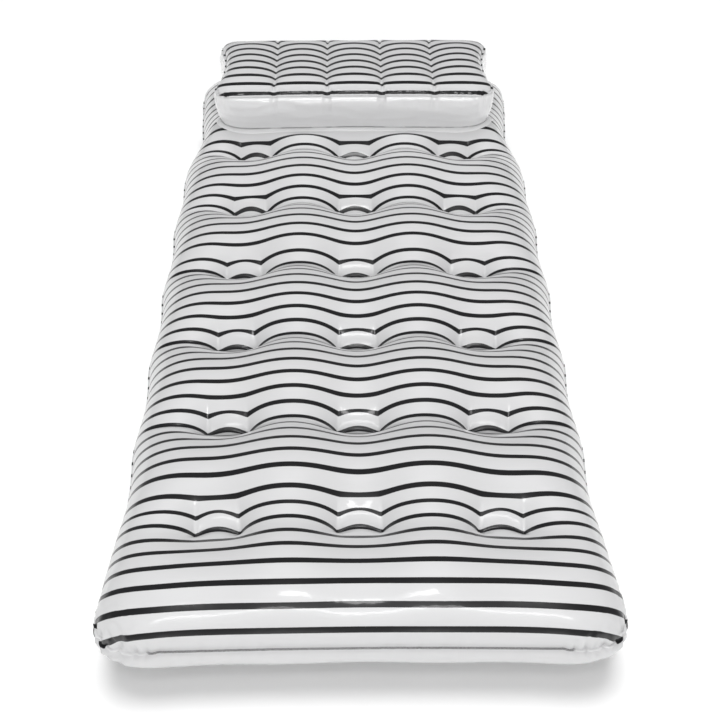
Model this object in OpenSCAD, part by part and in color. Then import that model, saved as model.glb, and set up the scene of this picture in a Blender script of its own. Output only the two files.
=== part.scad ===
// Inflatable pool float: a ribbed air mattress with a raised pillow at its head.
// The foot end is at -Y and the pillow at +Y. It lies on the plane z = 0.

/* [Mattress] */
// Length from the foot seam to the head seam
mat_length = 1800; // [1780:5:1820]
// Width from side seam to side seam
mat_width = 830; // [820:5:840]
// Height of the ribs above the plane of the perimeter seam
crest_height = 125; // [122:1:128]
// Depth of the bottom sheet below that plane, where it lies on the ground
floor_depth = 118; // [114:1:120]
// Width of the welded hem around the mattress
hem_width = 4; // [3:1:8]
// Thickness of the vinyl sheets
sheet = 0.5; // [0.4:0.1:0.8]

/* [Ties] */
// Distance between neighbouring rows of tie strips
row_pitch = 233; // [231:1:235]
// Distance from the centre line to the outer tie strips
station_x = 236; // [230:1:240]
// Width of each tie strip, measured across the mattress
tie_width = 64; // [56:2:70]
// Height of each tie strip from sheet to sheet
tie_height = 76; // [70:1:84]
// Width of the tabs that weld a tie strip to the sheets
tab_width = 8; // [6:1:10]

/* [Pillow] */
// Distance from the middle of the mattress to the pillow's front wall
pillow_front_y = 540; // [536:1:544]
// Distance from the middle of the mattress to the pillow's rear wall
pillow_rear_y = 808; // [804:1:812]
// Width of the pillow from side wall to side wall
pillow_width = 652; // [640:4:664]
// Height of the pillow's seam above the ground
pillow_seam_z = 300; // [296:1:304]
// Rise of the pillow's lobes above that seam
lobe_height = 40; // [36:1:44]
// Bulge of the pillow's side wall
wall_bulge = 8; // [6:1:9]

/* [Valves] */
// Outer radius of the base that is welded to the sheet
base_r = 18; // [16:0.5:18]
// Radius of the collar's bore
collar_bore_r = 8.05; // [8.03:0.01:8.08]
// Outer radius of the stem
stem_r = 8; // [7.9:0.01:8]
// Radius of the stem's air passage
passage_r = 4.1; // [4.08:0.01:4.12]
// Length of the stem below its rim
stem_length = 22; // [20:1:24]

/* [Hidden] */
half_w = mat_width / 2;
half_l = mat_length / 2;
tube_r = crest_height;
seam_z = floor_depth;
corner_power = 3;
tie_rows = 7;
row_span = (tie_rows - 1) * row_pitch;
rows_y = [for (i = [0:tie_rows - 1]) i * row_pitch - row_span / 2];
stations = [-station_x, 0, station_x];
station_names = ["left", "centre", "right"];
half_tie = tie_width / 2;
half_tab = tab_width / 2;
half_pitch = row_pitch / 2 - half_tab;
end_span = half_l - tube_r - row_span / 2 - half_tab;
rise_max = crest_height - sheet;
// Heights of the valley between two ribs, as fractions of the rise of a rib
tie_share = tie_height / 2 / rise_max;
saddle_share = 0.72;
side_share = 0.66;
gap_reach = (station_x - tie_width) / 2;
side_reach = half_w - station_x - half_tie;
tube_steps = 4;

pillow_half_w = pillow_width / 2;
pillow_mid_y = (pillow_front_y + pillow_rear_y) / 2;
pillow_half_l = (pillow_rear_y - pillow_front_y) / 2;
pillow_edge_r = 50;
lobes = 5;
lobe_pitch = pillow_width / lobes;
webs_x = [for (i = [1:lobes - 1]) i * lobe_pitch - pillow_half_w];
web_share = 0.45;
pillow_hem = 5;
weld_depth = 1;

vinyl = [0.93, 0.93, 0.94];
clear_vinyl = [0.86, 0.89, 0.92];

function clip(v, low, high) = min(high, max(low, v));
function unit(v) = v / norm(v);

// How far a coordinate has come into an edge tube: 0 at its crest, 1 at the seam
function inset(v, half, r) = clip(1 - (half - abs(v)) / r, 0, 1);
function corner_sum(x, y, hw, hl, r) =
    pow(inset(x, hw, r), corner_power) + pow(inset(y, hl, r), corner_power);
// Share of the full height that the edge tubes leave at a point
function edge_share(x, y, hw, hl, r) =
    sqrt(max(0, 1 - pow(min(1, corner_sum(x, y, hw, hl, r)), 2 / corner_power)));
// Half width of a rounded outline at a distance from its middle
function outline_half(y, hw, hl, r) =
    hw - r + r * pow(1 - pow(inset(y, hl, r), corner_power), 1 / corner_power);
// Direction that points straight out of the outline at one of its points
function outline_normal(x, y, hw, hl, r) =
    unit([sign(x) * pow(inset(x, hw, r), corner_power - 1),
          sign(y) * pow(inset(y, hl, r), corner_power - 1), 0]);
// Elliptical rib that starts from a valley of the given share
function rib(t, share) = sqrt(1 - (1 - share * share) * pow(1 - clip(t, 0, 1), 2));

// Height share of the valley between two ribs, lowest along the tie strips
function valley_share(x) =
    let (near = min([for (s = stations) abs(x - s)]) - half_tie,
         outside = abs(x) > station_x + half_tie,
         reach = outside ? side_reach : gap_reach,
         top = outside ? side_share : saddle_share,
         t = clip(near / reach, 0, 1))
    tie_share + (top - tie_share) * sin(90 * t);
// Progress from the nearest row of ties, 0, to the top of a rib, 1
function row_progress(y) =
    let (k = clip(round((y - rows_y[0]) / row_pitch), 0, tie_rows - 1),
         d = max(0, abs(y - rows_y[k]) - half_tab),
         outside = abs(y) > abs(rows_y[0]))
    d / (outside ? end_span : half_pitch);
// Height of the mattress's top sheet above the plane of the seam
function mat_rise(x, y) =
    sheet + rise_max * edge_share(x, y, half_w, half_l, tube_r)
    * rib(row_progress(y), valley_share(x));

// Height of the pillow's top sheet above the pillow's seam
function pillow_rise(x, y) =
    let (k = clip(round((x + pillow_half_w) / lobe_pitch), 1, lobes - 1),
         outside = abs(x) > abs(webs_x[0]),
         t = outside ? 1 + clip((abs(x) - lobe_pitch * 2) / (lobe_pitch / 2), -1, 0)
                     : abs(x - webs_x[k - 1]) / (lobe_pitch / 2))
    sheet + (lobe_height - sheet)
    * edge_share(x, y - pillow_mid_y, pillow_half_w, pillow_half_l, pillow_edge_r)
    * rib(t, web_share);

// Distances across and along at which the sheets are sampled
function mirrored(list) = concat([for (i = [len(list) - 1:-1:0]) -list[i]], list);
function fractions(a, b, n) = [for (i = [1:n - 1]) a + (b - a) * i / n];
tube_shares = [for (i = [1:tube_steps]) sin(90 * i / tube_steps)];
// Shares of a rib's length, which leave a flat on the ground between the second and the fourth
rib_shares = [0.22, 0.42, 0.5, 0.58, 0.78];

// Places along the mattress, from the foot seam to the head seam
mat_ys = mirrored(concat(
    [for (i = [3:tie_rows - 1])
        each concat(i == 3 ? [half_tab] : [rows_y[i] - half_tab, rows_y[i] + half_tab],
                    i < tie_rows - 1
                    ? [for (f = rib_shares) rows_y[i] + half_tab + (row_pitch - tab_width) * f]
                    : [half_l - tube_r - end_span / 2])],
    [half_l - tube_r],
    [for (f = tube_shares) half_l - tube_r + tube_r * f]));
mat_flat_xs = concat(
    [half_tie],
    fractions(half_tie, station_x - half_tie, 4),
    [station_x - half_tie, station_x + half_tie, half_w - tube_r]);
function mat_xs(y) =
    let (inner = half_w - tube_r, outer = outline_half(y, half_w, half_l, tube_r))
    mirrored(concat(mat_flat_xs, [for (f = tube_shares) inner + (outer - inner) * f]));
mat_grid = [for (y = mat_ys) [for (x = mat_xs(y)) [x, y]]];

pillow_ys = mirrored(concat(
    fractions(0, pillow_half_l - pillow_edge_r, 2),
    [for (f = concat([0], tube_shares)) pillow_half_l - pillow_edge_r + pillow_edge_r * f]));
pillow_flat_xs = concat(
    [for (i = [0.25, 0.5, 0.75, 1, 1.25, 1.5]) i * lobe_pitch],
    fractions(1.5 * lobe_pitch, pillow_half_w - pillow_edge_r, 2),
    [pillow_half_w - pillow_edge_r]);
function pillow_xs(y) =
    let (inner = pillow_half_w - pillow_edge_r,
         outer = outline_half(y, pillow_half_w, pillow_half_l, pillow_edge_r),
         right = concat(pillow_flat_xs, [for (f = tube_shares) inner + (outer - inner) * f]))
    concat([for (i = [len(right) - 1:-1:0]) -right[i]], [0], right);
pillow_grid = [for (y = pillow_ys) [for (x = pillow_xs(y)) [x, y + pillow_mid_y]]];

// Points around the edge of a grid of rows and columns, anticlockwise from above
function edge_places(rows, cols) = concat(
    [for (j = [0:cols - 1]) [0, j]],
    [for (i = [1:rows - 1]) [i, cols - 1]],
    [for (j = [cols - 2:-1:0]) [rows - 1, j]],
    [for (i = [rows - 2:-1:1]) [i, 0]]);

// Upward normal of a surface at a place in its grid
function grid_normal(g, i, j) =
    let (rows = len(g), cols = len(g[0]))
    unit(cross(g[i][min(j + 1, cols - 1)] - g[i][max(j - 1, 0)],
               g[min(i + 1, rows - 1)][j] - g[max(i - 1, 0)][j]));

function is_edge(i, j, rows, cols) = i == 0 || j == 0 || i == rows - 1 || j == cols - 1;
function flip(points, side) = [for (p = points) [p[0], p[1], p[2] * side]];
function strip_faces(a, b, n) = [for (k = [0:n - 1])
    let (m = (k + 1) % n) each [[a + k, b + m, a + m], [a + k, b + k, b + m]]];

// A thin sheet over a grid: a skin of even thickness with a flat hem around it.
// outer holds the outside points, and side is 1 for a top sheet and -1 for a bottom one.
module hemmed_sheet(outer, normals, hem, side) {
    rows = len(outer);
    cols = len(outer[0]);
    places = edge_places(rows, cols);
    n = len(places);
    inner = [for (i = [0:rows - 1]) [for (j = [0:cols - 1])
        is_edge(i, j, rows, cols)
        ? let (k = i == 0 ? j : i < rows - 1
                   ? (j == cols - 1 ? cols - 1 + i : n - i)
                   : cols - 1 + rows - 1 + cols - 1 - j)
          [outer[i][j][0], outer[i][j][1], 0] - sheet * normals[k]
        : outer[i][j] - sheet * grid_normal(outer, i, j)]];
    rim_top = [for (k = [0:n - 1])
        outer[places[k][0]][places[k][1]] + hem * normals[k]];
    rim_low = [for (p = rim_top) [p[0], p[1], 0]];
    size = rows * cols;
    out_loop = [for (p = places) outer[p[0]][p[1]]];
    in_loop = [for (p = places) inner[p[0]][p[1]]];
    flat = concat([for (r = outer) each r], [for (r = inner) each r], rim_top, rim_low);
    function edge_id(k, base) = base + places[k][0] * cols + places[k][1];
    cells = [for (i = [0:rows - 2]) for (j = [0:cols - 2])
        let (a = i * cols + j, b = a + 1, c = a + cols, d = c + 1)
        each [[a, c, d], [a, d, b], [size + a, size + d, size + c], [size + a, size + b, size + d]]];
    rt = 2 * size;
    rl = rt + n;
    hems = [for (k = [0:n - 1])
        let (m = (k + 1) % n,
             o0 = edge_id(k, 0), o1 = edge_id(m, 0),
             i0 = edge_id(k, size), i1 = edge_id(m, size))
        each [[o0, o1, rt + m], [o0, rt + m, rt + k],
              [rt + k, rt + m, rl + m], [rt + k, rl + m, rl + k],
              [rl + k, rl + m, i1], [rl + k, i1, i0]]];
    faces = concat(cells, hems);
    polyhedron(flip(flat, side), side > 0 ? faces : [for (f = faces) [f[0], f[2], f[1]]]);
}

function edge_normals(grid, mid_y, hw, hl, r) =
    [for (p = edge_places(len(grid), len(grid[0])))
        let (q = grid[p[0]][p[1]]) outline_normal(q[0], q[1] - mid_y, hw, hl, r)];
mat_normals = edge_normals(mat_grid, 0, half_w, half_l, tube_r);

// Valves

// Facet of the rear tube on which the mattress's valve is welded
facet_low = [half_l - tube_r + tube_r * tube_shares[2],
             sheet + rise_max * sqrt(1 - pow(tube_shares[2], 2))];
facet_high = [half_l - tube_r + tube_r * tube_shares[1],
              sheet + rise_max * sqrt(1 - pow(tube_shares[1], 2))];
mat_valve_tilt = atan2(facet_low[0] - facet_high[0], facet_high[1] - facet_low[1]);
valve_x = station_x / 2;
pillow_valve_drop = 31;
mat_valve_at = [valve_x, (facet_low[0] + facet_high[0]) / 2,
                seam_z + (facet_low[1] + facet_high[1]) / 2];
mat_valve_turn = [-90 + mat_valve_tilt, 0, 0];
pillow_valve_at = [valve_x, pillow_rear_y + wall_bulge, pillow_seam_z - pillow_valve_drop];
pillow_valve_turn = [-90, 0, 0];

base_t = 1.2;
collar_r = 9.5;
collar_depth = 10;
rim_z = base_t + 0.1;
rim_t = 1.3;
rim_r = 10.5;
cap_z = rim_z + rim_t + 0.2;
cap_t = 2.2;
cap_r = 8;
strap_w = 4;
strap_t = 1.2;
hinge_x = 13;
hinge_z = cap_z + strap_t / 2;
lug_w = 5;
lug_length = 4;
plug_depth = 4;
plug_play = 0.1;
flap_t = 0.6;
flap_r = 6;
flap_x = 7;
flap_w = 4;
flap_gap = 0.1;
joined = 0.5;
hole_reach = 6;

module at_valve(place, turn) {
    translate(place) rotate(turn) children();
}

module ring(r_out, r_in, low, high) {
    translate([0, 0, low]) difference() {
        cylinder(r = r_out, h = high - low, $fn = 64);
        translate([0, 0, -1]) cylinder(r = r_in, h = high - low + 2, $fn = 64);
    }
}

// Disc welded on the sheet, with a collar that guides the stem
module valve_base() {
    color(clear_vinyl) union() {
        ring(base_r, collar_bore_r, 0, base_t);
        ring(collar_r, collar_bore_r, -collar_depth, joined);
    }
}

// Tube that is pulled out to be blown into, with a rim and the strap's root
module valve_stem() {
    color(clear_vinyl) union() {
        ring(stem_r, passage_r, rim_z - stem_length, rim_z + joined);
        ring(rim_r, passage_r, rim_z, rim_z + rim_t);
        translate([-hinge_x + strap_t / 2 + joined, -lug_w / 2, rim_z]) cube([lug_length, lug_w, rim_t]);
    }
}

// Radius of the plug at a depth below the hinge, so that it swings out of the passage
function plug_r(depth) =
    sqrt(pow(hinge_x + passage_r - plug_play, 2) - depth * depth) - hinge_x;

// Cap, plug and strap in one moulding, which flips over on the strap's root
module valve_stopper() {
    color(clear_vinyl) union() {
        translate([0, 0, cap_z]) cylinder(r = cap_r, h = cap_t, $fn = 64);
        rotate_extrude($fn = 64) polygon(concat(
            [[0, cap_z + joined], [plug_r(0), cap_z + joined]],
            [for (i = [0:4]) let (z = cap_z - plug_depth * i / 4) [plug_r(hinge_z - z), z]],
            [[0, cap_z - plug_depth]]));
        translate([-hinge_x, -strap_w / 2, cap_z])
            cube([hinge_x - cap_r / 2, strap_w, strap_t]);
        translate([-hinge_x, strap_w / 2, hinge_z]) rotate([90, 0, 0])
            cylinder(r = strap_t / 2, h = strap_w, $fn = 32);
    }
}

// Thin flap that the air pressure holds against the inner end of the stem
module check_flap() {
    color(clear_vinyl) translate([0, 0, rim_z - stem_length - flap_t - flap_gap]) union() {
        cylinder(r = flap_r, h = flap_t, $fn = 48);
        translate([-flap_x, -flap_w / 2, 0]) cube([flap_x, flap_w, flap_t]);
        translate([-flap_x, flap_w / 2, flap_t / 2]) rotate([90, 0, 0])
            cylinder(r = flap_t / 2, h = flap_w, $fn = 32);
    }
}

module valve_hole() {
    translate([0, 0, -hole_reach]) cylinder(r = collar_r + 0.1, h = 2 * hole_reach, $fn = 64);
}

// Mattress

module mattress_top_sheet() {
    outer = [for (row = mat_grid) [for (p = row)
        [p[0], p[1], corner_sum(p[0], p[1], half_w, half_l, tube_r) > 0.9999
                     ? sheet : mat_rise(p[0], p[1])]]];
    color(vinyl) difference() {
        translate([0, 0, seam_z]) hemmed_sheet(outer, mat_normals, hem_width, 1);
        at_valve(mat_valve_at, mat_valve_turn) valve_hole();
    }
}

module mattress_bottom_sheet() {
    outer = [for (row = mat_grid) [for (p = row)
        [p[0], p[1], corner_sum(p[0], p[1], half_w, half_l, tube_r) > 0.9999
                     ? sheet : min(floor_depth, mat_rise(p[0], p[1]))]]];
    color(vinyl) translate([0, 0, seam_z])
        hemmed_sheet(outer, mat_normals, hem_width, -1);
}

// Upright strip with a tab at each edge, welded between the two sheets
module tie_strip(x, y) {
    reach = tie_height / 2 - 0.05;
    color(vinyl) translate([x, y, seam_z]) union() {
        translate([-half_tie, -sheet / 2, -reach]) cube([tie_width, sheet, 2 * reach]);
        for (z = [-reach, reach - sheet])
            translate([-half_tie, -half_tab, z]) cube([tie_width, tab_width, sheet]);
    }
}

// Pillow

module pillow_top_sheet() {
    outer = [for (row = pillow_grid) [for (p = row)
        [p[0], p[1], corner_sum(p[0], p[1] - pillow_mid_y, pillow_half_w, pillow_half_l,
                                pillow_edge_r) > 0.9999
                     ? sheet : pillow_rise(p[0], p[1])]]];
    normals = edge_normals(pillow_grid, pillow_mid_y, pillow_half_w, pillow_half_l,
                           pillow_edge_r);
    color(vinyl) translate([0, 0, pillow_seam_z])
        hemmed_sheet(outer, normals, pillow_hem, 1);
}

// Wall around the pillow, from the mattress up to the pillow's seam
wall_levels = [0, 0.06, 0.16, 0.84, 0.94, 1];
wall_bulges = [0, 0.6, 1, 1, 0.6, 0];
module pillow_wall() {
    places = edge_places(len(pillow_grid), len(pillow_grid[0]));
    line = [for (p = places) pillow_grid[p[0]][p[1]]];
    normals = edge_normals(pillow_grid, pillow_mid_y, pillow_half_w, pillow_half_l,
                           pillow_edge_r);
    n = len(line);
    levels = len(wall_levels);
    points = [for (depth = [0, sheet]) for (l = [0:levels - 1]) for (k = [0:n - 1])
        let (foot = seam_z + mat_rise(line[k][0], line[k][1]) - weld_depth,
             out = wall_bulge * wall_bulges[l] - depth)
        [line[k][0] + normals[k][0] * out, line[k][1] + normals[k][1] * out,
         foot + (pillow_seam_z - foot) * wall_levels[l]]];
    half = levels * n;
    sides = [for (l = [0:levels - 2]) each concat(
        strip_faces((l + 1) * n, l * n, n),
        strip_faces(half + l * n, half + (l + 1) * n, n))];
    faces = concat(sides, strip_faces(0, half, n),
                   strip_faces(half + (levels - 1) * n, (levels - 1) * n, n));
    color(vinyl) difference() {
        polyhedron(points, faces);
        at_valve(pillow_valve_at, pillow_valve_turn) valve_hole();
    }
}

// Upright web that holds down the valley between two lobes of the pillow
module pillow_web(x) {
    reach = pillow_half_l - pillow_edge_r / 2;
    ys = [for (i = [-8:8]) pillow_mid_y + reach * i / 8];
    top = [for (y = ys) [y, pillow_seam_z + pillow_rise(x, y) - 2 * sheet]];
    foot = [for (i = [len(ys) - 1:-1:0]) [ys[i], seam_z + mat_rise(x, ys[i]) - weld_depth]];
    color(vinyl) translate([x - sheet / 2, 0, 0]) rotate([90, 0, 90])
        linear_extrude(sheet) polygon(concat(top, foot));
}

function tie_name(row, station) = str("tie_strip_", row + 1, "_", station_names[station]);
function web_name(i) = str("pillow_web_", i + 1);

mattress_top_sheet();
mattress_bottom_sheet();
for (r = [0:tie_rows - 1]) for (s = [0:2])
    tie_strip(stations[s], rows_y[r]);
pillow_top_sheet();
pillow_wall();
for (i = [0:lobes - 2])
    pillow_web(webs_x[i]);
at_valve(mat_valve_at, mat_valve_turn) valve_base();  // mattress_valve_base
at_valve(mat_valve_at, mat_valve_turn) valve_stem();  // mattress_valve_stem
at_valve(mat_valve_at, mat_valve_turn) valve_stopper();  // mattress_valve_stopper
at_valve(mat_valve_at, mat_valve_turn) check_flap();  // mattress_check_flap
at_valve(pillow_valve_at, pillow_valve_turn) valve_base();  // pillow_valve_base
at_valve(pillow_valve_at, pillow_valve_turn) valve_stem();  // pillow_valve_stem
at_valve(pillow_valve_at, pillow_valve_turn) valve_stopper();  // pillow_valve_stopper
at_valve(pillow_valve_at, pillow_valve_turn) check_flap();  // pillow_check_flap
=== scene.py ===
"""Looks of the inflatable pool float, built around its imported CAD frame.

The mattress's sheets and the pillow's top are cut flat, welded at their rims, held down at the ties
or webs, and blown up by a small simulation. The sharp folds at the ties, the puckers, the pillow's
wall and the valves' seats are then added to the inflated shapes by rule.
"""

import math

import bpy
import numpy as np
from mathutils import Euler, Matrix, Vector, noise
from mathutils.bvhtree import BVHTree


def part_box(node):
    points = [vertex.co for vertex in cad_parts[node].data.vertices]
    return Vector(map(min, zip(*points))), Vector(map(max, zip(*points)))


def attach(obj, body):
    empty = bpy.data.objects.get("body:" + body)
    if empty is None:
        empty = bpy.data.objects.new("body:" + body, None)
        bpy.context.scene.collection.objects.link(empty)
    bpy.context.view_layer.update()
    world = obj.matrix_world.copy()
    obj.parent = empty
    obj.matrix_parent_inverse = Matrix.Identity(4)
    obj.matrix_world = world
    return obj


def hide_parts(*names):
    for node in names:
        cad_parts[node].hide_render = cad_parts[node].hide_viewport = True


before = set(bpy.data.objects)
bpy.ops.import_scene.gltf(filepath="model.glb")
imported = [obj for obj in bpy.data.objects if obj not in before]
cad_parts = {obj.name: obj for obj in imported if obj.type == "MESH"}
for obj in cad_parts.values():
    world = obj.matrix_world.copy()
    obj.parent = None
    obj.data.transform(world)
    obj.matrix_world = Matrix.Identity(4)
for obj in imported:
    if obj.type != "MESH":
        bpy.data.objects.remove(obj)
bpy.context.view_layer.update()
cad_nodes = [o for o in bpy.context.scene.objects if o.type == "MESH"]

# The printed stripes: their pitch on the flat vinyl, and the share of it that is black
PITCH = 0.0315
STRIPE_SHARE = 0.275
PILLOW_STRIPE_SHARE = 0.34

# The mattress's flat sheets, in stripe pitches
FLAT_HALF_WIDTH = 14.0
FLAT_END = 7.0            # from the foot or head seam to the nearest row of ties
FLAT_ROW = 8.0            # from one row of ties to the next
FLAT_STATION = 7.5        # from the centre line to the outer ties
TIE_HALF = 1.0            # half the length of a tie
FLAT_CORNER = 3.6
TIE_ROWS = 7
END_BOW = 0.15            # how far the foot and head seams bow in
FLAT_HALF_LENGTH = FLAT_END + FLAT_ROW * (TIE_ROWS - 1) / 2
TIE_STATIONS = (-FLAT_STATION, 0, FLAT_STATION)
TIE_LINES = [(i - (TIE_ROWS - 1) / 2) * FLAT_ROW for i in range(TIE_ROWS)]

# The pillow's flat top sheet, in stripe pitches
PILLOW_HALF_WIDTH = 11.5
PILLOW_HALF_LENGTH = 4.75
PILLOW_CORNER = 1.75
PILLOW_WEBS = (-6.5, -2.25, 2.25, 6.5)
PILLOW_WEB_RISE = 0.62
PILLOW_WEB_END = 0.7      # from a web's end to the seam
PILLOW_BOW = 0.2

# Grid steps and how long each grid is blown up, from coarse to fine
FINE_STEP = 0.125
PER_STRIPE = round(1 / FINE_STEP)
MATTRESS_LEVELS = [(0.5, 1500), (0.25, 400), (FINE_STEP, 150)]
PILLOW_LEVELS = [(0.25, 900), (FINE_STEP, 250)]

HEM = 0.004               # width of the flat weld around a sheet
HEM_THICK = 0.0004
HEM_EDGE = 0.0003         # how far the hem's thin outer edge stands out
TIE_CLEARANCE = 0.0006    # between a tie's end and the sheet above it
FLANGE = 0.012            # width of the weld that lies on the mattress around the pillow's foot


def corners(name):
    """Lowest and highest corner of a CAD node."""
    low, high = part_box(name)
    return Vector(low), Vector(high)


# ---------------------------------------------------------------- inflating

# Springs between grid points: rows and columns to the other end, stiffness when short and long
SPRINGS = [((0, 1), 1.0, 1.0), ((1, 0), 1.0, 1.0), ((1, 1), 0.35, 0.35),
           ((1, -1), 0.35, 0.35), ((0, 2), 0.2, 0.0), ((2, 0), 0.2, 0.0)]
SLACK = 0.1               # resistance to pressing together, as a share of that to pulling
PUSH = 0.04               # air pressure
DRAG = 0.9                # share of its speed that a point keeps from step to step
LATE_DRAG = 0.6           # the same in the last fifth of the steps, where the shape settles


def spring_sets(shape, di, dj):
    """Slices that pair each point with the one di rows and dj columns on, in sets that share no point."""
    reach = max(di, abs(dj))
    along = shape[0] if di else shape[1]
    sets = []
    for k in range(2 * reach):
        count = len(range(k, along - reach, 2 * reach))
        if not count:
            continue
        a = slice(k, k + 2 * reach * count, 2 * reach)
        b = slice(k + reach, k + reach + 2 * reach * count, 2 * reach)
        if not di:
            sets.append(((slice(None), a), (slice(None), b)))
        elif dj > 0:
            sets.append(((a, slice(None, -dj)), (b, slice(dj, None))))
        elif dj < 0:
            sets.append(((a, slice(-dj, None)), (b, slice(None, dj))))
        else:
            sets.append(((a, slice(None)), (b, slice(None))))
    return sets


def inflate(flat, start, hold, steps):
    """Blows a sheet up from start. flat is its cut shape, and hold(x) keeps its welds in place."""
    x = start.copy()
    before = x.copy()
    springs = []
    for (di, dj), short, long in SPRINGS:
        for a, b in spring_sets(x.shape, di, dj):
            rest = np.sqrt(((flat[a] - flat[b]) ** 2).sum(-1, keepdims=True))
            springs.append((a, b, rest, 0.5 * short * SLACK, 0.5 * long))
    for step in range(steps):
        air = np.cross(x[1:, 1:] - x[:-1, :-1], x[1:, :-1] - x[:-1, 1:]) * (0.125 * PUSH)
        speed = (x - before) * (DRAG if step < 0.8 * steps else LATE_DRAG)
        before = x.copy()
        x += speed
        for rows in (slice(None, -1), slice(1, None)):
            for cols in (slice(None, -1), slice(1, None)):
                x[rows, cols] += air
        for _ in range(2):
            for a, b, rest, short, long in springs:
                d = x[b] - x[a]
                size = np.sqrt(np.einsum("ijk,ijk->ij", d, d))[..., None] + 1e-12
                over = 1 - rest / size
                d *= np.where(over > 0, long, short) * over
                x[a] += d
                x[b] -= d
            hold(x)
    return x


def refine(grid):
    """Doubles a grid of values along both axes, on a smooth curve through them."""
    for _ in range(2):
        n = len(grid)
        ends = np.concatenate([2 * grid[:1] - grid[1:2], grid, 2 * grid[-1:] - grid[-2:-1]])
        middle = (9 * (grid[:-1] + grid[1:]) - ends[:n - 1] - ends[3:n + 2]) / 16
        out = np.empty((2 * n - 1,) + grid.shape[1:])
        out[::2] = grid
        out[1::2] = middle
        grid = out.swapaxes(0, 1)
    return grid


def flat_grid(half_w, half_l, corner, step):
    """Even grid coordinates u, v and the places they have on a sheet cut with round corners."""
    u, v = np.meshgrid(np.linspace(-half_w, half_w, 2 * round(half_w / step) + 1),
                       np.linspace(-half_l, half_l, 2 * round(half_l / step) + 1))
    a = np.clip((abs(u) - (half_w - corner)) / corner, 0, 1)
    b = np.clip((abs(v) - (half_l - corner)) / corner, 0, 1)
    both = (a > 0) & (b > 0)
    x = np.sign(u) * (half_w - corner + corner * a * np.sqrt(1 - b * b / 2))
    y = np.sign(v) * (half_l - corner + corner * b * np.sqrt(1 - a * a / 2))
    return u, v, np.stack([np.where(both, x, u), np.where(both, y, v), 0 * u], -1)


def edge_of(u):
    """True at the points on a grid's rim."""
    edge = np.zeros(u.shape, bool)
    edge[0] = edge[-1] = edge[:, 0] = edge[:, -1] = True
    return edge


def keep_straight(x, half_w, bow):
    """Keeps the front and rear seams from bowing in further than bow."""
    for line, side in ((x[0], -1), (x[-1], 1)):
        y = line[:, 1] * side
        share = np.clip(1 - (line[:, 0] / half_w) ** 2, 0, 1)
        inner = abs(line[:, 0]) < half_w
        y[inner] = np.maximum(y[inner], y[inner].max() - bow * share[inner])
        line[:, 1] = y * side


def inflate_in_levels(half_w, half_l, corner, levels, holder, first):
    """Inflates on a coarse grid and then on finer ones. Returns the flat grid and the shape."""
    x = None
    for step, steps in levels:
        u, v, flat = flat_grid(half_w, half_l, corner, step)
        x = first(u, v, flat) if x is None else refine(x)
        x = inflate(flat, x, holder(u, v, step), steps)
    return flat, x


def mattress_holder(tie_rise):
    """Holds the seam flat, the ties down to tie_rise and the sheet above the seam's plane."""
    def holder(u, v, step):
        ties = np.zeros(u.shape, bool)
        for line in TIE_LINES:
            for station in TIE_STATIONS:
                ties |= (abs(v - line) < step / 2) & (abs(u - station) < TIE_HALF + step / 8)
        edge = edge_of(u)

        def hold(x):
            z = x[..., 2]
            z[ties] = np.minimum(z[ties], tie_rise)
            z[edge] = 0
            np.maximum(z, 0, out=z)
            keep_straight(x, FLAT_HALF_WIDTH - FLAT_CORNER - 0.5, END_BOW)
        return hold
    return holder


def mattress_start(u, v, flat):
    """Low humps between the rows of ties, drawn in along the length."""
    random = np.random.default_rng(3)
    x = flat * (0.95, 0.78, 1)
    wave = np.cos(v / FLAT_ROW * 2 * math.pi)
    inside = np.clip(1 - (flat[..., 0] / FLAT_HALF_WIDTH) ** 4, 0, 1) \
        * np.clip(1 - (flat[..., 1] / FLAT_HALF_LENGTH) ** 30, 0, 1)
    x[..., 2] = np.sqrt(inside) * (2.2 - 0.5 * wave * inside) + random.normal(0, 0.01, u.shape)
    return x


def pillow_holder(u, v, step):
    """Holds the pillow's seam flat and its webs down."""
    webs = np.zeros(u.shape, bool)
    for web in PILLOW_WEBS:
        webs |= (abs(u - web) < step / 2) & (abs(v) < PILLOW_HALF_LENGTH - PILLOW_WEB_END)
    edge = edge_of(u)

    def hold(x):
        z = x[..., 2]
        z[webs] = np.minimum(z[webs], PILLOW_WEB_RISE)
        z[edge] = 0
        np.maximum(z, 0, out=z)
        keep_straight(x, PILLOW_HALF_WIDTH - PILLOW_CORNER - 0.5, PILLOW_BOW)
    return hold


def pillow_start(u, v, flat):
    """A low cushion, a little drawn in."""
    random = np.random.default_rng(5)
    x = flat * (0.93, 0.93, 1)
    inside = np.clip(1 - (u / PILLOW_HALF_WIDTH) ** 6, 0, 1) \
        * np.clip(1 - (v / PILLOW_HALF_LENGTH) ** 4, 0, 1)
    x[..., 2] = np.sqrt(inside) + random.normal(0, 0.01, u.shape)
    return x


# ---------------------------------------------------------------- meshes and grids

def smooth_object(name, points, faces, material, **values):
    """A mesh object with smooth shading and one float attribute for each of values."""
    mesh = bpy.data.meshes.new(name)
    mesh.from_pydata([tuple(p) for p in points], [], [tuple(f) for f in faces])
    mesh.polygons.foreach_set("use_smooth", [True] * len(mesh.polygons))
    for key, numbers in values.items():
        mesh.attributes.new(key, "FLOAT", "POINT").data.foreach_set(
            "value", np.asarray(numbers, np.float32))
    mesh.materials.append(material)
    obj = bpy.data.objects.new(name, mesh)
    bpy.context.scene.collection.objects.link(obj)
    return obj


def grid_faces(rows, cols, up=True):
    """Quads over a grid of points, facing up or down."""
    k = np.arange(rows * cols).reshape(rows, cols)
    faces = np.stack([k[:-1, :-1], k[:-1, 1:], k[1:, 1:], k[1:, :-1]], -1).reshape(-1, 4)
    return faces if up else faces[:, ::-1]


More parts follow.
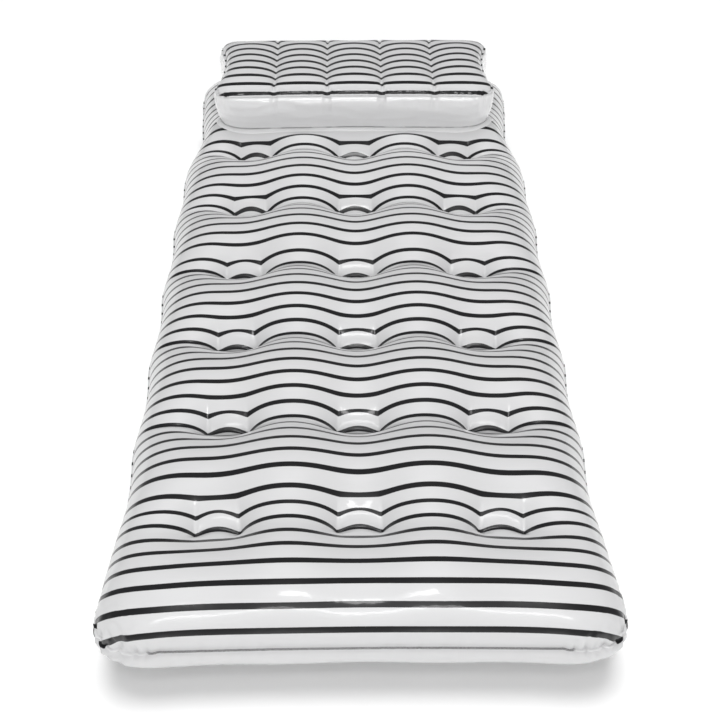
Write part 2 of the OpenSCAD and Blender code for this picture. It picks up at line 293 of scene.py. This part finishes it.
def rim_places(rows, cols):
    """Indices of a grid's edge, anticlockwise from above."""
    k = np.arange(rows * cols).reshape(rows, cols)
    return np.concatenate([k[0, :-1], k[:-1, -1], k[-1, :0:-1], k[:0:-1, 0]])


def loop_normals(loop):
    """Outward directions in plan along a closed loop that runs anticlockwise."""
    way = np.roll(loop, -1, 0) - np.roll(loop, 1, 0)
    out = np.stack([way[:, 1], -way[:, 0], 0 * way[:, 0]], -1)
    return out / np.linalg.norm(out, axis=1, keepdims=True)


def band_faces(count, first, second):
    """Quads between two closed rings of points."""
    k = np.arange(count)
    m = (k + 1) % count
    return np.stack([first + k, second + k, second + m, first + m], -1)


def with_hem(points, values, up):
    """A sheet's grid points with a flat welded hem around them: points, faces and values."""
    rim = rim_places(*points.shape[:2])
    grid = points.reshape(-1, 3)
    loop = grid[rim]
    out = loop_normals(loop)
    thick = np.array((0, 0, HEM_THICK if up else -HEM_THICK))
    rings = [loop + out * HEM * 0.5 + thick, loop + out * HEM + thick, loop + out * (HEM + HEM_EDGE)]
    faces = [grid_faces(*points.shape[:2], up)]
    inside = rim
    for i in range(len(rings)):
        outside = len(grid) + i * len(rim) + np.arange(len(rim))
        band = np.stack([inside, outside, np.roll(outside, -1), np.roll(inside, -1)], -1)
        faces.append(band if up else band[:, ::-1])
        inside = outside
    rim_values = values.ravel()[rim]
    return (np.concatenate([grid, *rings]), np.concatenate(faces),
            np.concatenate([values.ravel(), *[rim_values] * len(rings)]))


def smoothstep(value, low, high):
    """0 up to low, 1 from high on, and an even curve between."""
    t = np.clip((value - low) / (high - low), 0, 1)
    return t * t * (3 - 2 * t)


def evened(loop, reach):
    """A closed loop with its small waves averaged away."""
    total = loop.copy()
    for k in range(1, reach + 1):
        total += np.roll(loop, k, 0) + np.roll(loop, -k, 0)
    return total / (2 * reach + 1)


# ---------------------------------------------------------------- materials

WHITE = (0.6, 0.6, 0.605)
# The wall's white is brighter than the sheets' white: painted light, making the upright wall as bright as
# the tops
WALL_WHITE_PAINTED_LIGHT = (0.78, 0.78, 0.785)
BLACK = (0.005, 0.005, 0.006)
INNER_WHITE = (0.75, 0.76, 0.77)
VALVE_WHITE = (0.78, 0.81, 0.84)
INK_EDGE = 60             # how sharply ink meets vinyl, per stripe pitch
INK_RAGGED = 0.012        # how far an ink edge wavers, in stripe pitches


def node_of(tree, kind, **values):
    """A new node with some of its sockets or settings filled in."""
    node = tree.nodes.new(kind)
    for key, value in values.items():
        if key in node.inputs:
            node.inputs[key].default_value = value
        else:
            setattr(node, key, value)
    return node


def math_node(tree, operation, *values, clamp=False):
    """A math node's output. Each value is a number or another node's output."""
    node = node_of(tree, "ShaderNodeMath", operation=operation, use_clamp=clamp)
    for socket, value in zip(node.inputs, values):
        if isinstance(value, (int, float)):
            socket.default_value = value
        else:
            tree.links.new(value, socket)
    return node.outputs[0]


def vinyl(name, colour, roughness=0.34, coat=0.5, coat_roughness=0.09, crumple=0.38):
    """Glossy sheet vinyl with a faint calendered ripple. Returns the material, tree and shader."""
    material = bpy.data.materials.new(name)
    material.use_nodes = True
    tree = material.node_tree
    shader = tree.nodes["Principled BSDF"]
    shader.inputs["Base Color"].default_value = (*colour, 1)
    shader.inputs["Roughness"].default_value = roughness
    shader.inputs["IOR"].default_value = 1.53
    shader.inputs["Coat Weight"].default_value = coat
    shader.inputs["Coat Roughness"].default_value = coat_roughness
    place = node_of(tree, "ShaderNodeTexCoord").outputs["Object"]
    broad = node_of(tree, "ShaderNodeTexNoise", Scale=34, Detail=2)
    fine = node_of(tree, "ShaderNodeTexNoise", Scale=260, Detail=3)
    ripple = node_of(tree, "ShaderNodeBump", Strength=crumple, Distance=0.0015)
    grain = node_of(tree, "ShaderNodeBump", Strength=crumple * 0.5, Distance=0.0001)
    for texture, bump in ((broad, ripple), (fine, grain)):
        tree.links.new(place, texture.inputs["Vector"])
        tree.links.new(texture.outputs["Fac"], bump.inputs["Height"])
    tree.links.new(ripple.outputs["Normal"], grain.inputs["Normal"])
    tree.links.new(grain.outputs["Normal"], shader.inputs["Normal"])
    tree.links.new(grain.outputs["Normal"], shader.inputs["Coat Normal"])
    return material, tree, shader


def striped_vinyl(name, share):
    """White vinyl printed with black cross stripes, counted by the mesh's stripe attribute."""
    material, tree, shader = vinyl(name, WHITE)
    count = node_of(tree, "ShaderNodeAttribute", attribute_name="stripe").outputs["Fac"]
    place = node_of(tree, "ShaderNodeTexCoord").outputs["Object"]
    phase = math_node(tree, "FRACT", math_node(tree, "ADD", count, 0.5))
    off = math_node(tree, "ABSOLUTE", math_node(tree, "SUBTRACT", phase, 0.5))
    ragged = node_of(tree, "ShaderNodeTexNoise", Scale=900, Detail=1)
    tree.links.new(place, ragged.inputs["Vector"])
    edge = math_node(tree, "MULTIPLY_ADD", ragged.outputs["Fac"], INK_RAGGED, share / 2 - 0.002)
    inside = math_node(tree, "SUBTRACT", edge, off)
    ink = math_node(tree, "MULTIPLY", inside, INK_EDGE, clamp=True)
    mix = node_of(tree, "ShaderNodeMix", data_type="RGBA")
    factor, white, black = mix.inputs[0], mix.inputs[6], mix.inputs[7]
    white.default_value = (*WHITE, 1)
    black.default_value = (*BLACK, 1)
    tree.links.new(ink, factor)
    tree.links.new(mix.outputs[2], shader.inputs["Base Color"])
    return material


striped = striped_vinyl("striped_vinyl", STRIPE_SHARE)
striped_pillow = striped_vinyl("striped_pillow_vinyl", PILLOW_STRIPE_SHARE)
# The wall's vinyl, whose brighter white is painted light on the upright wall
plain = vinyl("white_vinyl", WALL_WHITE_PAINTED_LIGHT, roughness=0.25, coat=0.9, coat_roughness=0.06, crumple=0.6)[0]
inner = vinyl("inner_vinyl", INNER_WHITE, crumple=0.1)[0]
milky = vinyl("valve_vinyl", VALVE_WHITE, roughness=0.2, crumple=0.1)[0]


# ---------------------------------------------------------------- mattress

mattress_low, mattress_high = corners("mattress_top_sheet")
first_tie_low, first_tie_high = corners("tie_strip_1_right")
last_tie_low, last_tie_high = corners(f"tie_strip_{TIE_ROWS}_right")
pillow_low, pillow_high = corners("pillow_top_sheet")

seam_z = mattress_low.z
half_width = mattress_high.x - HEM
half_length = mattress_high.y - HEM
crest_rise = mattress_high.z - seam_z
tie_rise = (first_tie_high.z - first_tie_low.z) / 2 + TIE_CLEARANCE
first_row = (first_tie_low.y + first_tie_high.y) / 2
row_pitch = ((last_tie_low.y + last_tie_high.y) / 2 - first_row) / (TIE_ROWS - 1)

flat, shape = inflate_in_levels(FLAT_HALF_WIDTH, FLAT_HALF_LENGTH, FLAT_CORNER, MATTRESS_LEVELS,
                                mattress_holder(tie_rise / PITCH), mattress_start)


def to_frame(shape):
    """Brings the inflated mattress to the CAD model's length, width, height and rows of ties."""
    middle = shape.shape[1] // 2
    tied = [round((FLAT_END + i * FLAT_ROW) * PER_STRIPE) for i in range(TIE_ROWS)]
    along = shape[tied, middle, 1]
    reach = shape[..., 1].max()
    out = np.empty_like(shape)
    out[..., 0] = shape[..., 0] * half_width / shape[..., 0].max()
    out[..., 1] = np.interp(
        shape[..., 1], [-reach, *along, reach],
        [-half_length, *[first_row + i * row_pitch for i in range(TIE_ROWS)], half_length])
    low = shape[tied[0], middle, 2]
    top = shape[..., 2].max()
    out[..., 2] = np.where(shape[..., 2] < low, shape[..., 2] * tie_rise / low,
                           tie_rise + (shape[..., 2] - low) * (crest_rise - tie_rise) / (top - low))
    return out


# The folds at the ties, in stripe pitches
CREASE_PULL = 0.05        # how far the folds draw the sheet down
CREASE_SWELL = 0.47       # how far the sheet swells between a tie's two folds
CREASE_REACH = FLAT_STATION / 2 - TIE_HALF
CREASE_END = 1.38         # from the row of ties to where the folds fade out
CREASE_FADE = 0.12
LOBE_MIDDLE = 0.5         # from the row of ties to the highest part of the swelling between two folds
LOBE_LENGTH = 0.85
OUTER_LOBE_END = 4.6      # how far from a tie the lobes beside it are rounded
OUTER_LOBE_FADE = 0.8


def crease(points, flat):
    """Folds the sheet sharply at both ends of each tie, with rounded lobes between the folds."""
    u, v = flat[..., 0], flat[..., 1]
    out = points.copy()
    middle = points.shape[1] // 2
    tie_end = middle + round(TIE_HALF * PER_STRIPE)
    between = middle + round(FLAT_STATION / 2 * PER_STRIPE)
    mean = 0.5 * (points + points[:, ::-1])
    station = mean[:, middle]
    rise = mean[:, between] - station
    across = mean[:, tie_end:between + 1] - station[:, None]
    # How far the sheet has risen at each point from a tie's end to the middle between two ties
    share = (across[..., 1:] * rise[:, None, 1:]).sum(-1)
    share /= (rise[:, 1:] ** 2).sum(-1)[:, None] + 1e-9
    off = np.min([abs(u - s) for s in TIE_STATIONS], axis=0)
    t = np.clip((off - TIE_HALF) / CREASE_REACH, 0, 1)
    beside = off > TIE_HALF
    kept = np.clip((OUTER_LOBE_END - off) / OUTER_LOBE_FADE, 0, 1)
    for line in TIE_LINES:
        past = v - line
        fade = smoothstep(past, -0.7, 0.25) / (1 + np.exp((past - CREASE_END) / CREASE_FADE))
        near = (past[:, 0] > 0.2) & (past[:, 0] < 1.8)
        profile = share[near].mean(0)
        now = np.interp(t, np.linspace(0, 1, len(profile)), profile)
        rounder = 1 - (1 - t) ** 2
        amount = np.where(beside & (abs(past) < 3), rounder - now, 0) * fade * kept
        out[..., 1:] += amount[..., None] * rise[:, None, 1:]
        dome = np.exp(-((past - LOBE_MIDDLE) / LOBE_LENGTH) ** 2)
        domed = CREASE_SWELL * (1 - np.clip(off / TIE_HALF, 0, 1) ** 2) * dome
        pulled = CREASE_PULL * np.where(beside, (1 - t) ** 4, 1) * fade
        swell = (np.where(beside, 0, domed) - pulled) * PITCH
        out[..., 1] += 0.5 * swell
        out[..., 2] += 0.85 * swell
    return out


def outward(points, half_w, half_l):
    """Directions away from the middle in plan, and how near each point is to the rim, 1 at the rim."""
    x = points[..., 0] / half_w
    y = points[..., 1] / half_l
    near = (abs(x) ** 8 + abs(y) ** 8) ** (1 / 8)
    way = np.stack([x ** 7 / half_w, y ** 7 / half_l, 0 * x], -1)
    return way / (np.linalg.norm(way, axis=-1, keepdims=True) + 1e-9), near


TUBE_MIDDLE = 0.042       # height above the seam where an outer tube is fullest


def fill_out(points, pinched, side, end):
    """Rounds the outer tubes by side and end, and keeps the seam back by its pinched share."""
    way, near = outward(points, half_width, half_length)
    rise = np.clip(abs(points[..., 2]) / TUBE_MIDDLE, 0, 1)
    swell = (1 - pinched * (1 - rise) ** 2) * smoothstep(near, 0.76, 0.95)
    amount = side + (end - side) * smoothstep(abs(points[..., 1]), 0.6, 0.86)
    return points + way * (swell * amount)[..., None]


PUCKER_HEIGHT = 0.011     # how far the puckers run up from the seam
CORNER_HEIGHT = 0.045     # how much farther at the corners


def pucker(points, half_w, half_l, seed):
    """Small folds that run up from the seam, longer and deeper at the corners."""
    way, near = outward(points, half_w, half_l)
    x = abs(points[..., 0]) / half_w
    y = abs(points[..., 1]) / half_l
    cornered = smoothstep(np.minimum(x, y), 0.8, 0.93)
    reach = PUCKER_HEIGHT + CORNER_HEIGHT * cornered
    height = points[..., 2]
    busy = (near > 0.8) & (height < 4 * reach)
    out = points.copy()
    for i, j in zip(*np.nonzero(busy)):
        place = Vector(points[i, j])
        place.z *= 0.12
        fold = max(0, 1 - abs(noise.noise(place * 55 + Vector((seed, 0, 0)))) * 4)
        wave = noise.noise(place * 26 + Vector((0, seed, 0)))
        patch = 0.5 + noise.noise(place * 9 + Vector((0, 0, seed)))
        c = cornered[i, j]
        depth = (0.0024 + 0.0042 * c) * fold * patch + (0.0005 + 0.0045 * c) * wave
        rise = height[i, j] / reach[i, j]
        out[i, j] -= way[i, j] * depth * math.exp(-rise) * min(1, rise * 5 + 0.25)
    return out


# The valves
PLATE_THICK = 0.0012
PLATE_RADIUS = 0.0185     # flat radius behind a valve plate
SEAT_REACH = 0.06         # how far along a valve's axis the sheet is brought to it
VALVE_HOLE = 0.012        # radius of the hole in the sheet behind the plate
MATTRESS_BLEND = 0.046    # radius where the mattress has its own shape again
PILLOW_BLEND = PLATE_RADIUS + 0.014


def valve_seat(node):
    """The middle of a valve plate's back and the way that it faces, from its CAD mesh."""
    mesh = bpy.data.objects[node].data
    points = np.empty(len(mesh.vertices) * 3)
    mesh.vertices.foreach_get("co", points)
    points = points.reshape(-1, 3)
    facing = {}
    for face in mesh.polygons:
        way = tuple(round(c, 3) for c in face.normal)
        facing[way] = facing.get(way, 0) + face.area
    axis = np.array(max(facing, key=facing.get))
    axis = axis / np.linalg.norm(axis) * (1 if axis[1] > 0 else -1)
    middle = points.mean(0)
    front = ((points - middle) @ axis).max()
    return middle + axis * (front - PLATE_THICK), axis


def depth_and_ring(points, seat, axis):
    """How far points are in front of a valve's seat, and how far from its axis."""
    away = points - seat
    depth = away @ axis
    return depth, np.linalg.norm(away - depth[..., None] * axis, axis=-1)


def seated(points, seat, axis, blend):
    """A sheet brought onto the flat back of a valve plate, with its own shape from blend on."""
    depth, ring = depth_and_ring(points, seat, axis)
    close = 1 - smoothstep(ring, PLATE_RADIUS, blend)
    close = np.where(abs(depth) < SEAT_REACH, close, 0)
    return points - (depth + 0.0001)[..., None] * close[..., None] * axis


def pierced(points, faces, seat, axis):
    """The faces left when a hole is cut where a valve goes through."""
    depth, ring = depth_and_ring(points, seat, axis)
    hidden = (ring < VALVE_HOLE) & (abs(depth) < 0.02)
    return faces[~hidden[faces].all(axis=1)]


# The print, in stripe pitches from the foot seam
FIRST_STRIPE = 0.87
PRINTED_END = 6.8         # stripes printed from the foot seam to the first row of ties
PRINT_GAP = 0.3           # extra white where the printing roller meets itself
GAP_STRIPE = 31           # the stripe before that white
FOOT_SLIP = 0.34          # how far the print slips on the foot tube
ROW_SLIP = -0.32          # and just past the first row of ties
BOTTOM_FIRST_STRIPE = 2.4


def printed_along(flat):
    """Stripe pitches from the foot seam, for each point of the flat sheet."""
    along = flat[..., 1] + FLAT_HALF_LENGTH
    return np.where(along < FLAT_END, along * PRINTED_END / FLAT_END, along - FLAT_END + PRINTED_END)


def top_stripes(along):
    """Stripe count on the top sheet. A whole number is the middle of a stripe."""
    slip = FOOT_SLIP * np.sin(math.pi * np.clip(along / 5.8, 0, 1)) \
        + ROW_SLIP * np.exp(-((along - 8.4) / 1.1) ** 2)
    past = np.clip((along - FIRST_STRIPE - GAP_STRIPE - 0.4) / 0.5, 0, 1)
    return along - FIRST_STRIPE - past * PRINT_GAP - slip


HEAD_NARROWING = 0.026    # how far the pillow's weld draws in each side at the head


def narrow_head(points):
    """Draws in the sides of the mattress beside the pillow."""
    head = smoothstep(points[..., 1], 0.4, 0.63)
    drawn_in = HEAD_NARROWING * head * smoothstep(abs(points[..., 0]), 0.25, 0.4)
    points[..., 0] -= np.sign(points[..., 0]) * drawn_in
    return points


def level_under_pillow(points):
    """Heights of the sheet with its front weld to the pillow drawn level across the width."""
    x, y, z = points[..., 0], points[..., 1], points[..., 2]
    front, reach = pillow_low.y, pillow_high.x
    broad = abs(x) < reach
    level = (z * broad).sum(1) / broad.sum(1)
    near = smoothstep(y, front - 0.04, front - 0.005) * (1 - smoothstep(y, front + 0.04, front + 0.08))
    near = near * (1 - smoothstep(abs(x), reach - 0.03, reach + 0.05))
    return z + (level[:, None] - z) * near


GROUND_BLEND = 0.003      # how softly the underside turns flat where it lies on the ground


def under_side(points):
    """The mirror image of the top, flattened where it lies on the ground."""
    under = fill_out(points, 1.0, 0.004, 0.013)
    height = GROUND_BLEND * np.logaddexp(0, (seam_z - under[..., 2]) / GROUND_BLEND)
    under[..., 2] = height - GROUND_BLEND * np.logaddexp(0, -seam_z / GROUND_BLEND)
    return under


blown = fill_out(crease(to_frame(shape), flat), 0.25, 0.003, 0.016)
blown = pucker(narrow_head(blown), half_width, half_length, 3.7)
stripes_along = printed_along(flat)

top_points = blown + (0, 0, seam_z)
top_points[..., 2] = level_under_pillow(top_points)
seat, axis = valve_seat("mattress_valve_base")
top_points = seated(top_points, seat, axis, MATTRESS_BLEND)
points, faces, stripes = with_hem(top_points, top_stripes(stripes_along), True)
ground = BVHTree.FromPolygons(points.tolist(), faces.tolist())
faces = pierced(points, faces, seat, axis)
top = smooth_object("mattress_top_vinyl", points, faces, striped, stripe=stripes)

bottom_stripes = np.maximum(stripes_along - BOTTOM_FIRST_STRIPE, -0.4)
points, faces, stripes = with_hem(under_side(blown), bottom_stripes, False)
bottom = smooth_object("mattress_bottom_vinyl", points, faces, striped, stripe=stripes)


# ---------------------------------------------------------------- pillow

PILLOW_CROWN = 0.032      # height of the pillow's lobes above its seam
PILLOW_FULLNESS = 0.85    # below 1 the lobes are fuller and flatter than blown
PILLOW_FIRST_STRIPE = 0.22
PILLOW_SEAM_LIFT = 0.005  # from the CAD sheet's lowest point to the seam
WALL_RINGS = 26
WALL_BULGE = 0.011
FOOT_OUT = 0.004          # how far the wall's foot stands out past its seam
# The weld flange's cross section: shares of its width, and heights above the mattress
FLANGE_PROFILE = ((0.04, 0.0016), (0.35, 0.0010), (0.7, 0.0010), (0.97, 0.0010), (1.0, 0.0002))


def surface_below(x, y):
    """Height of the mattress's top sheet."""
    return ground.ray_cast(Vector((x, y, 1)), Vector((0, 0, -1)))[0].z


def blown_pillow(shape, width, length, seam):
    """Brings the inflated pillow top to the CAD model's size and place."""
    points = shape * (width / shape[..., 0].max(), length / shape[..., 1].max(), 1)
    points[..., 2] = PILLOW_CROWN * (shape[..., 2] / shape[..., 2].max()) ** PILLOW_FULLNESS
    middle = (pillow_low + pillow_high) / 2
    return pucker(points, width, length, 8.1) + (middle.x, middle.y, seam)


def wall_relief(ring, t):
    """How far each point of a ring is pushed out by the wall's lumps and in by its upright folds."""
    push = np.empty(len(ring))
    seamed = math.exp(-t / 0.2) + 0.5 * math.exp(-(1 - t) / 0.12)
    for i, p in enumerate(ring):
        upright = Vector((p[0] * 34, p[1] * 34, p[2] * 10))
        level = Vector((p[0] * 7, p[1] * 7, p[2] * 55 + noise.noise(Vector(p) * 12) * 1.5))
        folds = max(0, 1 - abs(noise.noise(upright)) * 3.2)
        lumps = noise.noise(level)
        push[i] = 0.0024 * lumps * (1 - 0.5 * t) - 0.0016 * folds * seamed
    return push * math.sin(math.pi * t) ** 0.4


def wall_from(seam_loop, seam, foot_loop, out):
    """Rings of points from the pillow's seam down its wall, and out over the flange."""
    rings = []
    for t in np.linspace(0, 1, WALL_RINGS):
        moved = 1 - (1 - t) ** 3
        ring = seam_loop * (1 - moved) + foot_loop * moved
        ring[:, 2] = seam * (1 - t) + foot_loop[:, 2] * t
        bulge = WALL_BULGE * math.sin(math.pi * t ** 0.65) ** 0.8
        rings.append(ring + out * (bulge + wall_relief(ring, t))[:, None])
    for share, lift in FLANGE_PROFILE:
        ring = foot_loop + out * FLANGE * share
        ring[:, 2] = [surface_below(x, y) + lift for x, y, _ in ring]
        rings.append(ring)
    return np.stack(rings)


pillow_seam = pillow_low.z + PILLOW_SEAM_LIFT
flat, shape = inflate_in_levels(PILLOW_HALF_WIDTH, PILLOW_HALF_LENGTH, PILLOW_CORNER, PILLOW_LEVELS,
                                pillow_holder, pillow_start)
pillow_points = blown_pillow(shape, (pillow_high.x - pillow_low.x) / 2,
                             (pillow_high.y - pillow_low.y) / 2, pillow_seam)
pillow_stripes = flat[..., 1] + PILLOW_HALF_LENGTH - PILLOW_FIRST_STRIPE
points, faces, stripes = with_hem(pillow_points, pillow_stripes, True)
pillow_top = smooth_object("pillow_top_vinyl", points, faces, striped_pillow, stripe=stripes)

seam_loop = pillow_points.reshape(-1, 3)[rim_places(*pillow_points.shape[:2])]
foot_loop = evened(evened(seam_loop, 12), 12)
out = loop_normals(foot_loop)
foot_loop = foot_loop + out * FOOT_OUT
foot_loop[:, 2] = [surface_below(x, y) for x, y, _ in foot_loop]
wall_grid = wall_from(seam_loop, pillow_seam, foot_loop, out)
seat, axis = valve_seat("pillow_valve_base")
wall_grid = seated(wall_grid, seat, axis, PILLOW_BLEND)
points = wall_grid.reshape(-1, 3)
count = len(seam_loop)
faces = np.concatenate([band_faces(count, (i + 1) * count, i * count)
                        for i in range(len(wall_grid) - 1)])
faces = pierced(points, faces, seat, axis)
pillow_side = smooth_object("pillow_wall_vinyl", points, faces, plain)


# ---------------------------------------------------------------- sheets and CAD nodes

mattress_cut = (2 * FLAT_HALF_WIDTH * PITCH, 2 * FLAT_HALF_LENGTH * PITCH)
pillow_cut = (2 * PILLOW_HALF_WIDTH * PITCH, 2 * PILLOW_HALF_LENGTH * PITCH)
around = float(np.linalg.norm(foot_loop - np.roll(foot_loop, 1, 0), axis=1).sum())
tall = float(np.linalg.norm(np.diff(wall_grid, axis=0), axis=2).sum(0).mean())
for obj, node, slot, cut in ((top, "mattress_top_sheet", "striped_vinyl", mattress_cut),
                             (bottom, "mattress_bottom_sheet", "striped_vinyl", mattress_cut),
                             (pillow_top, "pillow_top_sheet", "striped_vinyl", pillow_cut),
                             (pillow_side, "pillow_wall", "white_vinyl", (around, tall))):
    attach(obj, "root")
    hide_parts(node)

for node in cad_nodes:
    is_valve = any(word in node.name for word in ("valve", "flap", "stopper"))
    node.data.materials.clear()
    node.data.materials.append(milky if is_valve else inner)
    if is_valve:
        soften = node.modifiers.new("soft_edges", "BEVEL")
        soften.width = 0.0003
        soften.segments = 2
        soften.limit_method = "ANGLE"


# ---------------------------------------------------------------- stage, light and camera

def area_light(name, place, aim, size, power):
    """A rectangular lamp at place that faces aim."""
    light = bpy.data.lights.new(name, "AREA")
    light.shape = "RECTANGLE"
    light.size, light.size_y = size
    light.energy = power
    obj = bpy.data.objects.new(name, light)
    obj.location = place
    obj.rotation_euler = (Vector(aim) - Vector(place)).to_track_quat("-Z", "Y").to_euler()
    bpy.context.scene.collection.objects.link(obj)


def floor():
    """White paper that reaches far past the picture."""
    mesh = bpy.data.meshes.new("floor")
    reach = 30
    mesh.from_pydata([(-reach, -reach, 0), (reach, -reach, 0), (reach, reach, 0), (-reach, reach, 0)],
                     [], [(0, 1, 2, 3)])
    obj = bpy.data.objects.new("floor", mesh)
    bpy.context.scene.collection.objects.link(obj)
    material = bpy.data.materials.new("floor_paper")
    material.use_nodes = True
    shader = material.node_tree.nodes["Principled BSDF"]
    shader.inputs["Base Color"].default_value = (0.93, 0.93, 0.93, 1)
    shader.inputs["Roughness"].default_value = 0.95
    mesh.materials.append(material)


def sun(name, strength, spread, tilt):
    """A broad, even light that leans by tilt degrees, to the front when positive."""
    light = bpy.data.lights.new(name, "SUN")
    light.energy = strength
    light.angle = math.radians(spread)
    obj = bpy.data.objects.new(name, light)
    obj.rotation_euler = (math.radians(tilt), 0, 0)
    obj.visible_glossy = False
    bpy.context.scene.collection.objects.link(obj)


def white_world(strength):
    """An even white sky."""
    world = bpy.data.worlds.new("studio")
    bpy.context.scene.world = world
    world.use_nodes = True
    background = world.node_tree.nodes["Background"]
    background.inputs["Color"].default_value = (1, 1, 1, 1)
    background.inputs["Strength"].default_value = strength


floor()
white_world(0.22)
bpy.context.scene.view_settings.view_transform = "Standard"
area_light("softbox", (0, -2.35, 3.3), (0, 0, 0), (0.7, 0.5), 13)
area_light("low_card", (0.1, -3.0, 1.95), (0, 0.5, 0.25), (1.6, 0.2), 9)
sun("overhead", 2.15, 36, -9)
sun("front_fill", 1.15, 40, 57)

camera = bpy.data.cameras.new("camera")
camera.lens = 59.6
camera.sensor_width = 36
camera.clip_end = 50
camera_object = bpy.data.objects.new("camera", camera)
camera_object.location = (-0.013, -2.022, 1.688)
camera_object.rotation_euler = Euler((math.radians(90 - 40.9), 0, math.radians(-0.6)))
bpy.context.scene.collection.objects.link(camera_object)
bpy.context.scene.camera = camera_object
